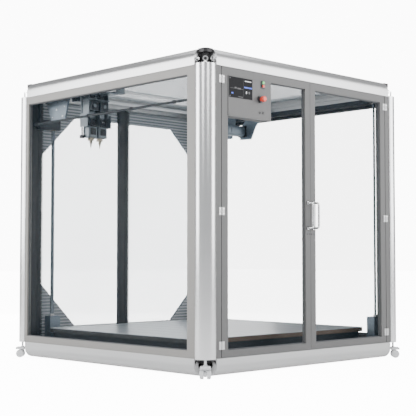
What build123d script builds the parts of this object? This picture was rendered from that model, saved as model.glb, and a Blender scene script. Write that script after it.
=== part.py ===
"""Enclosed large-format 3-D printer: extruded frame, glazed doors and walls, fixed bed, moving gantry.

Millimetres. +X is to the right seen from the doors, -Y is the door side, +Z is up.
The origin is under the middle of the machine's bounding box, on the floor.
"""
from build123d import *
import os

# overall size
half_width = 842.5          # middle to the outer plane of a side wall
half_depth = 849.0          # middle to the outer plane of the front
foot_gap = 7.0              # floor to the underside of the frame
total_height = 1725.0
shift_y = 11.65              # moves the model so that the origin is under the middle of its box

# extruded frame
beam_size = 93.0            # height
beam_depth = 85.0
beam_round = 60.0           # radius of the beam's outer edge
beam_end = 85.0             # corner plane to the beam's end
beam_bore = 17.5
slot_width = 9.0
slot_depth = 12.0
post_edge = 79.0            # corner plane to the post's edge
post_arc_centre = 51.0
post_arc_radius = 57.7
post_low = 98.0
post_high = 1637.0
stud_inset = 25.0           # corner planes to the axis of the lifting eye and the castor stem
wall_low = foot_gap + beam_size
wall_high = total_height - beam_size

# corner connectors and lifting eyes
connector_inset = 44.0
flange_inset = 30.0
flange_low = 1700.0
flange_high = 1722.0
connector_chamfer = 14.0
connector_low = 72.0        # clear of the castor's hood as it swivels
eye_outer = 15.0
eye_hole = 8.0
eye_thickness = 5.0
eye_height = 1660.0

# castors
stem_radius = 6.5
stem_bore = 6.55
stem_top = 118.0
castor_trail = 12.0
wheel_radius = 25.0
wheel_inner = 8.5
wheel_outer = 28.0
axle_radius = 3.0
axle_bore = 3.06

# doors
door_recess = 3.0
door_depth = 28.0
door_low = 101.0
door_high = 1631.0
hinge_x = 720.5
hinge_y = -half_depth - 1.0
door_edge = 719.0
door_gap = 1.0              # half of the gap between the two doors
glass_low = 139.0
glass_high = 1587.0
glass_side = 673.0
meeting_stile = 44.0
glass_thickness = 5.0
jamb_inner = 723.5
hinge_heights = (166.0, 865.0, 1562.0)
hinge_height = 42.0
hinge_leaf = 19.5
leaf_thickness = 2.5
knuckle_radius = 3.5
pin_radius = 1.7
pin_bore = 1.75
knuckle_gap = 0.3
handle_x = 24.0
handle_low = 785.0
handle_high = 940.0
handle_radius = 6.0
handle_standoff = 42.0

# control panel on the left door
panel_low = 1373.0
panel_high = glass_high
panel_right = -337.0
panel_back = -776.0
screen_left = -668.0
screen_right = -489.0
screen_low = 1474.0
screen_high = 1583.0
screen_pocket = 6.0
button_x = -404.5
green_z = 1577.0
red_z = 1559.0
button_radius = 8.0
button_bore = 8.4
button_travel_room = 12.0
estop_x = -426.0
estop_z = 1484.0
estop_head_radius = 15.5
estop_neck_radius = 10.0
estop_bore = 10.4
estop_collar_radius = 20.0
estop_proud = 38.0
port_spots = ((-428.0, 1410.5), (-403.0, 1412.0))

# walls
wall_recess = 3.0
wall_depth = 27.5
side_near_strip = 28.0
side_near_stile = 33.0
side_far_stile = 23.0
rear_panel_front = 812.0
rear_panel_thickness = 10.0
octagon_half_width = 700.0
octagon_half_flat = 424.0
octagon_low = 181.0
octagon_high = 1549.0
octagon_side_low = 466.0
octagon_side_high = 1275.0
roof_low = 1700.0
roof_thickness = 6.0

# bed
bed_half_width = 727.0
bed_half_depth = 657.0
bed_top = 187.0
sheet_thickness = 3.0
board_thickness = 24.0
support_half_width = 690.0   # middle to the middle of the outer support bars
support_half_depth = 620.0
support_width = 40.0
tray_thickness = 4.0

# upright rods, their foot boxes, cable columns and the mains inlet
front_rod = (738.0, -750.0)
rear_rod = (640.0, 762.0)
front_rod_radius = 7.0
rear_rod_radius = 11.0
rod_clearance = 0.5
foot_high = 255.0
front_foot_x = (702.0, 762.0)
front_foot_y = (-768.0, -710.0)
rear_foot_x = (602.0, 678.0)
rear_foot_y = (725.0, 784.0)
column_spans = ((-762.0, -704.0), (-72.0, 14.0))
column_front = 790.0
column_thickness = 18.0
column_tooth = 12.0
column_pitch = 36.0
inlet_x = (-640.0, -540.0)
inlet_z = (112.0, 172.0)
inlet_back = 838.0
socket_x = (-618.0, -562.0)
socket_z = (124.0, 160.0)
socket_depth = 10.0

# gantry: a rail along each side, held by carriers that run on the rods
rail_inner = 744.0
rail_outer = 784.0
rail_low = 1600.0
rail_high = 1630.0
rail_front = -735.0
rail_back = 745.0
carrier_low = 1440.0
carrier_high = 1500.0
front_carrier_x = (712.0, 762.0)
front_carrier_y = (-768.0, -728.0)
rear_carrier_x = (602.0, 762.0)
rear_carrier_y = (735.0, 784.0)
hanger_x = (748.0, 760.0)
rear_hanger_back = 760.0
tie_y = (-741.0, -729.0)
tie_low = 1608.0
shaft_x = -790.0
shaft_z = 1464.0
shaft_radius = 7.0
shaft_bore = 7.06
shaft_front = -746.0
shaft_back = 754.0
ear_half = 12.0             # half height and half width of the two bearings that hold the shaft
ear_thickness = 12.0
ear_fronts = (-742.0, 738.0)
pulley_radius = 12.0
pulley_length = 22.0
pulley_fronts = (-724.0, 712.0)

# bridge
tube_z = 1640.0
tube_radius = 10.0
tube_bore = 10.06
front_tube_y = 200.0
rear_tube_y = 590.0
plate_inner = 730.0
plate_outer = 742.0
rear_plate = ((500.0, 1478.0), (640.0, 1478.0), (720.0, 1655.0), (448.0, 1655.0))
front_plate = ((160.0, 1596.0), (240.0, 1596.0), (240.0, 1660.0), (160.0, 1660.0))
pad_outer = 756.0
pad_high = 1650.0
pad_spans = ((165.0, 235.0), (465.0, 525.0), (640.0, 700.0))
bridge_gap = 0.4            # rail to the pads that slide on it
arm_x = (690.0, 702.0)
arm_outline = ((165.0, 1605.0), (165.0, 1660.0), (235.0, 1660.0), (325.0, 1585.0), (375.0, 1535.0),
               (375.0, 1455.0), (274.0, 1452.0), (231.0, 1538.0))
motor_x = (640.0, 690.0)
motor_y = (320.0, 370.0)
motor_z = (1480.0, 1530.0)

# print head
head_left = -722.0
head_right = -530.0
carriage_y = (222.0, 568.0)
carriage_z = (1622.0, 1640.0)
sleeve_reach = 24.0         # tube axis to the sleeve's front and back
sleeve_rise = 20.0
body_inset = 20.0
body_y = (297.0, 387.0)
body_low = 1400.0
nozzle_x = (-660.0, -592.0)
nozzle_y = 342.0
nozzle_tip = 1292.0
nozzle_cone = 38.0
heater_radius = 14.0

parts = {}


def block(x_range, y_range, z_range):
    """Box between pairs of limits, given low to high."""
    size = [high - low for low, high in (x_range, y_range, z_range)]
    middle = [(high + low) / 2 for low, high in (x_range, y_range, z_range)]
    return Pos(*middle) * Box(*size)


def rod(start, end, radius):
    """Round bar between two points."""
    start, end = Vector(*start), Vector(*end)
    plane = Plane(origin=start, z_dir=end - start)
    return extrude(plane * Circle(radius), (end - start).length)


def at_corner(solid, side_x, side_y):
    """Turns and moves a solid drawn for the front left corner to any corner."""
    turn = {(-1, -1): 0, (1, -1): 90, (1, 1): 180, (-1, 1): -90}[(side_x, side_y)]
    return Pos(side_x * half_width, side_y * half_depth, 0) * Rot(0, 0, turn) * solid


def keep(name, *solids):
    """Adds a node made of one solid, or of a group of separate solids."""
    moved = [Pos(0, shift_y, 0) * solid for solid in solids]
    parts[name] = moved[0] if len(moved) == 1 else Compound(children=moved)


corners = {"front_left": (-1, -1), "front_right": (1, -1), "rear_left": (-1, 1), "rear_right": (1, 1)}


def beam(length):
    """Hollow extrusion along X: outer face towards -Y, rounded edge up."""
    half = beam_depth / 2
    profile = Rectangle(beam_depth, beam_size)
    rounded = profile.vertices().sort_by(lambda corner: corner.Y - corner.X)[-1]
    profile = fillet(rounded, beam_round)
    profile -= Pos(8, -10) * Circle(beam_bore)
    profile -= Polygon((-34, -38), (-16, -38), (-34, -14), align=None)
    for height in (-24, 0, 24):
        profile -= Pos(half - slot_depth / 2, height) * Rectangle(slot_depth, slot_width / 2)
    return extrude(Plane.YZ * profile, length / 2, both=True)


def beams():
    offset = beam_size / 2
    inset = beam_depth / 2
    places = {
        "front": (0, 0, -half_depth + inset, half_width),
        "rear": (180, 0, half_depth - inset, half_width),
        "left": (-90, -half_width + inset, 0, half_depth),
        "right": (90, half_width - inset, 0, half_depth),
    }
    for side, (turn, x, y, reach) in places.items():
        bar = beam(2 * (reach - beam_end))
        keep("beam_top_" + side, Pos(x, y, wall_high + offset) * Rot(0, 0, turn) * bar)
        keep("beam_bottom_" + side,
             Pos(x, y, foot_gap + offset) * Rot(0, 0, turn) * mirror(bar, Plane.XY))


def posts():
    """Corner posts: an arc bulges past both outer planes, and a bore takes the castor stem."""
    section = Pos(post_arc_centre, post_arc_centre) * Circle(post_arc_radius)
    square = Pos(post_edge / 2 - 5, post_edge / 2 - 5) * Rectangle(post_edge + 10, post_edge + 10)
    section = section & square
    section -= Pos(55, 55) * Circle(15)
    post = Pos(0, 0, post_low) * extrude(section, post_high - post_low)
    post -= rod((stud_inset, stud_inset, post_low), (stud_inset, stud_inset, stem_top + 1), stem_bore)
    for name, (side_x, side_y) in corners.items():
        keep("post_" + name, at_corner(post, side_x, side_y))


def connector(inset, low, high):
    """Black corner casting between the two beams' ends, chamfered towards the corner."""
    span = (inset, beam_end)
    solid = block(span, span, (low, high))
    edge = solid.edges().filter_by(Axis.Z).sort_by(lambda item: item.center().X + item.center().Y)[0]
    return chamfer(edge, connector_chamfer)


def corner_fittings():
    high = connector(connector_inset, post_high, flange_low) + connector(flange_inset, flange_low, flange_high)
    low = connector(connector_inset, connector_low, post_low)
    keep("corner_connectors", *[at_corner(solid, *spot) for spot in corners.values() for solid in (low, high)])
    keep("lifting_eyes", *[at_corner(lifting_eye(), *spot) for spot in corners.values()])


def lifting_eye():
    """Eye bolt on top of a post, its ring facing out along the corner's diagonal."""
    ring = extrude(Circle(eye_outer) - Circle(eye_hole), eye_thickness / 2, both=True)
    ring = Pos(0, 0, eye_height) * Rot(0, 0, 45) * Rot(0, 90, 0) * ring
    collar = rod((0, 0, post_high), (0, 0, post_high + 6), 9)
    neck = rod((0, 0, post_high), (0, 0, eye_height - eye_outer + 4), 4.5)
    return Pos(stud_inset, stud_inset, 0) * (ring + collar + neck)


def castor_fork():
    """Stem, hood and web of a castor that trails along +X from its stem."""
    web_half = wheel_inner - 1.0
    solid = block((-11, castor_trail), (-web_half, web_half), (22, 52))
    solid += rod((castor_trail, -web_half, wheel_radius), (castor_trail, web_half, wheel_radius), 14)
    hood = block((-15, 38), (-wheel_outer, wheel_outer), (51.5, 66))
    hood = fillet(hood.edges().group_by(Axis.Z)[-1], 7)
    solid += hood
    solid += rod((0, 0, 60), (0, 0, 70), 11)
    solid += rod((0, 0, 60), (0, 0, stem_top), stem_radius)
    axle = rod((castor_trail, -40, wheel_radius), (castor_trail, 40, wheel_radius), axle_bore)
    return solid - axle


def castor_wheels():
    """Two wheels on one axle."""
    solid = rod((castor_trail, -wheel_outer, wheel_radius), (castor_trail, wheel_outer, wheel_radius), axle_radius)
    for side in (-1, 1):
        inner = (castor_trail, side * wheel_inner, wheel_radius)
        outer = (castor_trail, side * wheel_outer, wheel_radius)
        disc = rod(inner, outer, wheel_radius)
        solid += fillet(disc.edges().filter_by(GeomType.CIRCLE), 4)
    return solid


def castors():
    place = Pos(stud_inset, stud_inset, 0) * Rot(0, 0, 225)
    for name, spot in corners.items():
        keep("castor_fork_" + name, at_corner(place * castor_fork(), *spot))
        keep("castor_wheels_" + name, at_corner(place * castor_wheels(), *spot))


def doors():
    """Two framed doors; the left pane is cut back round the control panel."""
    y_range = (-half_depth + door_recess, -half_depth + door_recess + door_depth)
    middle = sum(y_range) / 2
    pane_y = (middle - glass_thickness / 2, middle + glass_thickness / 2)
    for side, sign in (("left", -1), ("right", 1)):
        def across(start, end):
            return tuple(sorted((sign * start, sign * end)))
        bars = [
            block(across(door_edge, glass_side), y_range, (door_low, door_high)),
            block(across(meeting_stile, door_gap), y_range, (door_low, door_high)),
            block(across(glass_side, meeting_stile), y_range, (door_low, glass_low)),
            block(across(glass_side, meeting_stile), y_range, (glass_high, door_high)),
        ]
        keep("door_frame_" + side, *bars)
        pane = block(across(glass_side, meeting_stile), pane_y, (glass_low, glass_high))
        if side == "left":
            pane -= block((-glass_side - 1, panel_right), (-900, -700), (panel_low, panel_high + 1))
        keep("door_glass_" + side, pane)
        keep("door_handle_" + side, handle(sign * handle_x))
    keep("door_jambs",
         block((-half_width + post_edge, -jamb_inner), y_range, (wall_low, wall_high)),
         block((jamb_inner, half_width - post_edge), y_range, (wall_low, wall_high)))


def handle(x):
    """Bent round bar standing off the door on two feet."""
    face = -half_depth + door_recess
    grip = face - handle_standoff
    low, high = handle_low + handle_radius, handle_high - handle_radius
    path = FilletPolyline((x, face, low), (x, grip, low), (x, grip, high), (x, face, high), radius=14)
    bar = sweep(Plane(origin=(x, face, low), z_dir=(0, -1, 0)) * Circle(handle_radius), path)
    for height in (low, high):
        bar += rod((x, face, height), (x, face - 3, height), 10)
    return bar


def hinge_half(sign, side, height, segments):
    """Leaf and knuckles: side 1 is the leaf on the door, -1 the one on the jamb."""
    face = -half_depth + door_recess
    axis_x = sign * hinge_x
    inward = -sign * side
    root = axis_x + inward * (knuckle_radius + 0.5)
    tip = axis_x + inward * hinge_leaf
    plate_y = (face - leaf_thickness, face)
    solid = block(tuple(sorted((root, tip))), plate_y, (height - hinge_height / 2, height + hinge_height / 2))
    for low, high in segments:
        solid += block(tuple(sorted((axis_x, root))), (face - leaf_thickness, face - 0.5), (low, high))
        solid += rod((axis_x, hinge_y, low), (axis_x, hinge_y, high), knuckle_radius)
        solid -= rod((axis_x, hinge_y, low - 1), (axis_x, hinge_y, high + 1), pin_bore)
    return solid


def hinges():
    third = hinge_height / 3
    fixed = []
    pins = []
    for side, sign in (("left", -1), ("right", 1)):
        moving = []
        for height in hinge_heights:
            low, high = height - hinge_height / 2, height + hinge_height / 2
            ends = [(low, low + third - knuckle_gap), (high - third + knuckle_gap, high)]
            moving.append(hinge_half(sign, 1, height, ends))
            fixed.append(hinge_half(sign, -1, height, [(low + third, high - third)]))
            pin = rod((sign * hinge_x, hinge_y, low), (sign * hinge_x, hinge_y, high), pin_radius)
            pins.append(pin + rod((sign * hinge_x, hinge_y, high + 0.3), (sign * hinge_x, hinge_y, high + 2), 3)
                        + rod((sign * hinge_x, hinge_y, high), (sign * hinge_x, hinge_y, high + 1), pin_radius))
        keep("hinge_leaves_" + side, *moving)
    keep("hinge_leaves_fixed", *fixed)
    keep("hinge_pins", *pins)


def control_panel():
    front = -half_depth
    housing = block((-glass_side, panel_right), (front, panel_back), (panel_low, panel_high))
    housing -= block((screen_left, screen_right), (front - 1, front + screen_pocket), (screen_low, screen_high))
    bezel_z = (red_z - 13, panel_high)
    bezel = block((button_x - 14, button_x + 14), (front - 4, front), bezel_z)
    for height in (green_z, red_z):
        hole = rod((button_x, front - 5, height), (button_x, front + button_travel_room, height), button_bore)
        housing -= hole
        bezel -= hole
    housing -= rod((estop_x, front - 1, estop_z), (estop_x, front + 30, estop_z), estop_bore)
    keep("panel_housing", housing)
    keep("touchscreen", block((screen_left + 0.5, screen_right - 0.5), (front - 0.5, front + screen_pocket),
                              (screen_low + 0.5, screen_high - 0.5)))
    ports = [rod((x, front - 2, z), (x, front, z), 7) for x, z in port_spots]
    keep("button_bezel", bezel, *ports)
    for name, height in (("green_button", green_z), ("red_button", red_z)):
        keep(name, rod((button_x, front - 9, height), (button_x, front + 6, height), button_radius))
    collar = rod((estop_x, front - 9, estop_z), (estop_x, front, estop_z), estop_collar_radius)
    keep("estop_collar", collar - rod((estop_x, front - 10, estop_z), (estop_x, front, estop_z), estop_bore))
    head = rod((estop_x, front - estop_proud, estop_z), (estop_x, front - 20, estop_z), estop_head_radius)
    head = fillet(head.edges().sort_by(Axis.Y)[0], 5)
    head += rod((estop_x, front - 20, estop_z), (estop_x, front + 22, estop_z), estop_neck_radius)
    keep("estop_head", head)


def side_windows():
    """Framed pane in each side wall, with a wide strip beside the front post."""
    reach = half_depth - post_edge
    inner_front = -reach + side_near_strip + side_near_stile
    inner_back = reach - side_far_stile
    for side, sign in (("left", -1), ("right", 1)):
        outer = sign * (half_width - wall_recess)
        x_range = tuple(sorted((outer, outer - sign * wall_depth)))
        middle = sum(x_range) / 2
        bars = [
            block(x_range, (-reach, -reach + side_near_strip), (wall_low, wall_high)),
            block(x_range, (-reach + side_near_strip, inner_front), (wall_low, wall_high)),
            block(x_range, (inner_back, reach), (wall_low, wall_high)),
            block(x_range, (inner_front, inner_back), (wall_low, glass_low)),
            block(x_range, (inner_front, inner_back), (glass_high, wall_high)),
        ]
        keep("window_frame_" + side, *bars)
        pane_x = (middle - glass_thickness / 2, middle + glass_thickness / 2)
        keep("window_pane_" + side, block(pane_x, (inner_front, inner_back), (glass_low, glass_high)))


def rear_wall():
    """Strips and gussets round an octagonal window."""
    edge = half_width - post_edge
    depth = (rear_panel_front, rear_panel_front + rear_panel_thickness)
    pieces = [
        block((-edge, edge), depth, (wall_low, octagon_low)),
        block((-edge, edge), depth, (octagon_high, wall_high)),
        block((-edge, -octagon_half_width), depth, (octagon_low, octagon_high)),
        block((octagon_half_width, edge), depth, (octagon_low, octagon_high)),
    ]
    for sign in (-1, 1):
        for flat, side in ((octagon_low, octagon_side_low), (octagon_high, octagon_side_high)):
            outline = Polyline((sign * octagon_half_flat, flat), (sign * octagon_half_width, flat),
                               (sign * octagon_half_width, side), close=True)
            gusset = Plane.XZ * make_face(outline)
            pieces.append(Pos(0, depth[1], 0) * extrude(gusset, rear_panel_thickness, dir=(0, -1, 0)))
    keep("rear_panel", *pieces)
    octagon = Polyline(
        (-octagon_half_flat, octagon_low), (octagon_half_flat, octagon_low),
        (octagon_half_width, octagon_side_low), (octagon_half_width, octagon_side_high),
        (octagon_half_flat, octagon_high), (-octagon_half_flat, octagon_high),
        (-octagon_half_width, octagon_side_high), (-octagon_half_width, octagon_side_low), close=True)
    pane = extrude(Plane.XZ * make_face(octagon), glass_thickness, dir=(0, -1, 0))
    keep("rear_window", Pos(0, rear_panel_front + glass_thickness + 2, 0) * pane)


def roof_and_base():
    inner_x = half_width - beam_depth
    inner_y = half_depth - beam_depth
    keep("roof_panel", block((-inner_x, inner_x), (-inner_y, inner_y), (roof_low, roof_low + roof_thickness)))
    board_low = bed_top - sheet_thickness - board_thickness
    bar_z = (wall_low, board_low)
    half = support_width / 2
    base = [block((-inner_x, inner_x), (-inner_y, inner_y), (wall_low - tray_thickness, wall_low))]
    for y in (-support_half_depth, 0, support_half_depth):
        base.append(block((-support_half_width + half, support_half_width - half), (y - half, y + half), bar_z))
    for x in (-support_half_width, support_half_width):
        base.append(block((x - half, x + half), (-support_half_depth - half, support_half_depth + half), bar_z))
    keep("bed_base", *base)
    bed_x = (-bed_half_width, bed_half_width)
    bed_y = (-bed_half_depth, bed_half_depth)
    keep("bed_board", block(bed_x, bed_y, (board_low, bed_top - sheet_thickness)))
    keep("bed_sheet", block(bed_x, bed_y, (bed_top - sheet_thickness, bed_top)))


def on_side(sign, x_range):
    """The same X limits on the left (-1) or the right (1) side, low to high."""
    return tuple(sorted(sign * x for x in x_range))


def uprights():
    """Rods, the boxes at their feet, and the two toothed columns by the rear wall."""
    rods = []
    feet = []
    for sign in (-1, 1):
        for (x, y), radius in ((front_rod, front_rod_radius), (rear_rod, rear_rod_radius)):
            rods.append(rod((sign * x, y, foot_high), (sign * x, y, wall_high), radius))
        feet.append(block(on_side(sign, front_foot_x), front_foot_y, (wall_low, foot_high)))
        feet.append(block(on_side(sign, rear_foot_x), rear_foot_y, (wall_low, foot_high)))
    keep("z_rods", *rods)
    keep("z_foot_boxes", *feet)
    depth = (column_front, column_front + column_thickness)
    columns = []
    for left, right in column_spans:
        column = block((left, right - column_tooth), depth, (wall_low, wall_high))
        count = int((wall_high - wall_low) // column_pitch)
        for index in range(count):
            low = wall_low + index * column_pitch + column_pitch / 4
            column += block((right - column_tooth, right), depth, (low, low + column_pitch / 2))
        columns.append(column)
    keep("cable_columns", *columns)


def power_inlet():
    """Box on the rear panel with a socket open to the back."""
    inlet = block(inlet_x, (rear_panel_front + rear_panel_thickness, inlet_back), inlet_z)
    inlet -= block(socket_x, (inlet_back - socket_depth, inlet_back + 1), socket_z)
    keep("power_inlet", inlet)


def gantry():
    """Side rails on four carriers, tied by one bar at the front, with the shaft's two bearings."""
    frame = block((-rail_inner - 1, rail_inner + 1), tie_y, (tie_low, rail_high))
    for sign in (-1, 1):
        hanger = on_side(sign, hanger_x)
        frame += block(on_side(sign, (rail_inner, rail_outer)), (rail_front, rail_back), (rail_low, rail_high))
        frame += block(on_side(sign, front_carrier_x), front_carrier_y, (rail_low, rail_high))
        frame += block(on_side(sign, rear_carrier_x), rear_carrier_y, (carrier_low, carrier_high))
        frame += block(hanger, (rear_carrier_y[0], rear_hanger_back), (carrier_high, rail_high))
        for (x, y), radius in ((front_rod, front_rod_radius), (rear_rod, rear_rod_radius)):
            frame -= rod((sign * x, y, carrier_low - 1), (sign * x, y, rail_high + 1), radius + rod_clearance)
    frame += block(on_side(-1, hanger_x), front_carrier_y, (shaft_z - ear_half, rail_low))
    for front in ear_fronts:
        ear_x = (shaft_x - ear_half, -hanger_x[1])
        frame += block(ear_x, (front, front + ear_thickness), (shaft_z - ear_half, shaft_z + ear_half))
        frame -= rod((shaft_x, front - 1, shaft_z), (shaft_x, front + ear_thickness + 1, shaft_z), shaft_bore)
    keep("gantry_frame", frame)
    shaft = rod((shaft_x, shaft_front, shaft_z), (shaft_x, shaft_back, shaft_z), shaft_radius)
    for front in pulley_fronts:
        shaft += rod((shaft_x, front, shaft_z), (shaft_x, front + pulley_length, shaft_z), pulley_radius)
    keep("sync_shaft", shaft)


def upright_plate(outline, x_range):
    """Plate across X whose outline is given as pairs of Y and Z."""
    face = Plane.YZ * make_face(Polyline(*outline, close=True))
    return Pos(x_range[0], 0, 0) * extrude(face, x_range[1] - x_range[0])


def bridge():
    """End plates whose pads slide on the rails, two round tubes, and the arm that holds the motor."""
    plates = []
    for sign in (-1, 1):
        across = on_side(sign, (plate_inner, plate_outer))
        front = upright_plate(front_plate, across)
        rear = upright_plate(rear_plate, across)
        for start, end in pad_spans:
            pad = block(on_side(sign, (plate_outer, pad_outer)), (start, end), (rail_high + bridge_gap, pad_high))
            if start < front_tube_y:
                front += pad
            else:
                rear += pad
        plates += [front, rear]
    arm = upright_plate(arm_outline, arm_x)
    arm -= rod((arm_x[0] - 1, front_tube_y, tube_z), (arm_x[1] + 1, front_tube_y, tube_z), tube_bore)
    keep("bridge_plates", *plates, arm + block(motor_x, motor_y, motor_z))
    keep("bridge_tubes", *[rod((-plate_inner, y, tube_z), (plate_inner, y, tube_z), tube_radius)
                           for y in (front_tube_y, rear_tube_y)])


def print_head():
    """Carriage on both tubes, with the head body and two hot ends hanging between them."""
    x_range = (head_left, head_right)
    carriage = block(x_range, carriage_y, carriage_z)
    for y in (front_tube_y, rear_tube_y):
        sleeve_z = (tube_z - sleeve_rise, tube_z + sleeve_rise)
        carriage += block(x_range, (y - sleeve_reach, y + sleeve_reach), sleeve_z)
        carriage -= rod((head_left - 1, y, tube_z), (head_right + 1, y, tube_z), tube_bore)
    carriage += block((head_left + body_inset, head_right - body_inset), body_y, (body_low, carriage_z[1]))
    keep("head_carriage", carriage)
    hot_ends = []
    for x in nozzle_x:
        heater = rod((x, nozzle_y, nozzle_tip + nozzle_cone), (x, nozzle_y, body_low), heater_radius)
        cone = Cone(2, 9, nozzle_cone, align=(Align.CENTER, Align.CENTER, Align.MIN))
        hot_ends.append(heater + Pos(x, nozzle_y, nozzle_tip) * cone)
    keep("hot_ends", *hot_ends)


def main():
    os.makedirs("parts", exist_ok=True)
    for build in (beams, posts, corner_fittings, castors, doors, hinges, control_panel, side_windows,
                  rear_wall, roof_and_base, uprights, power_inlet, gantry, bridge, print_head):
        build()
    for name, solid in parts.items():
        export_step(solid, os.path.join("parts", name + ".step"))


main()
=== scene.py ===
import math
import bmesh
import bpy
from mathutils import Matrix, Vector


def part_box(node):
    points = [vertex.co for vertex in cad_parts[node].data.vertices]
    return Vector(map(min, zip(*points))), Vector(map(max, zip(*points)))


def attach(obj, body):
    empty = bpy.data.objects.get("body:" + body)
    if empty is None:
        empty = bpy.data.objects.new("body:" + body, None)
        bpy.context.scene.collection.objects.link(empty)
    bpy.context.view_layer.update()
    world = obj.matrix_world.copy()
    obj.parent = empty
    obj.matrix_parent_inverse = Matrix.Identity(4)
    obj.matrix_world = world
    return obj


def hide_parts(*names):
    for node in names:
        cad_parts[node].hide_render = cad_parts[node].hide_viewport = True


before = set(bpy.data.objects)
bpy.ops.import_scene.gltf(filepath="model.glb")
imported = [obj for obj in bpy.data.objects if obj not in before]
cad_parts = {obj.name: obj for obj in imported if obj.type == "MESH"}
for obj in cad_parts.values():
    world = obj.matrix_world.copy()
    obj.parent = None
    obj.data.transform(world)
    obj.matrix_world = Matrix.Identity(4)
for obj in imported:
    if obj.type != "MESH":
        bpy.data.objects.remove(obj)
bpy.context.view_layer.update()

midY = sum(corner.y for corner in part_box("bed_sheet")) / 2    # middle of the machine's depth
corners = {"front_left": (-1, -1), "front_right": (1, -1), "rear_left": (-1, 1), "rear_right": (1, 1)}


class Wire:
    # a shader socket that Python's own operators work on
    def __init__(self, finish, socket):
        self.finish = finish
        self.socket = socket

    def join(self, operation, first, second):
        return self.finish.add("ShaderNodeMath", {"operation": operation}, {0: first, 1: second})

    def __add__(self, other):
        return self.join("ADD", self, other)

    def __mul__(self, other):
        return self.join("MULTIPLY", self, other)

    __radd__ = __add__
    __rmul__ = __mul__


class Finish:
    # one material and the nodes that make it
    def __init__(self, name):
        self.material = bpy.data.materials.new(name)
        self.material.use_nodes = True
        self.tree = self.material.node_tree
        self.tree.nodes.clear()

    def add(self, kind, settings=None, sockets=None, out=0):
        node = self.tree.nodes.new(kind)
        for key, value in (settings or {}).items():
            if key == "stops":
                for stop, (place, color) in zip(node.color_ramp.elements, value):
                    stop.position, stop.color = place, color
            else:
                setattr(node, key, value)
        for key, value in (sockets or {}).items():
            if isinstance(value, Wire):
                self.tree.links.new(value.socket, node.inputs[key])
            else:
                node.inputs[key].default_value = value
        return Wire(self, node.outputs[out]) if node.outputs else None

    def place(self, scale=(1, 1, 1)):
        position = self.add("ShaderNodeTexCoord", out="Object")
        return self.add("ShaderNodeMapping", {}, {"Vector": position, "Scale": scale})

    def noise(self, scale, stretch=(1, 1, 1), detail=3.0):
        place = self.place(stretch)
        return self.add("ShaderNodeTexNoise", {}, {"Vector": place, "Scale": scale, "Detail": detail})

    def mix(self, factor, first, second):
        return self.add("ShaderNodeMix", {"data_type": "RGBA"}, {0: factor, 6: first, 7: second}, out=2)

    def close(self, sockets):
        shader = self.add("ShaderNodeBsdfPrincipled", {}, sockets)
        self.add("ShaderNodeOutputMaterial", {}, {"Surface": shader})
        return self.material


def rgba(color):
    return (*color, 1.0)


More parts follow.
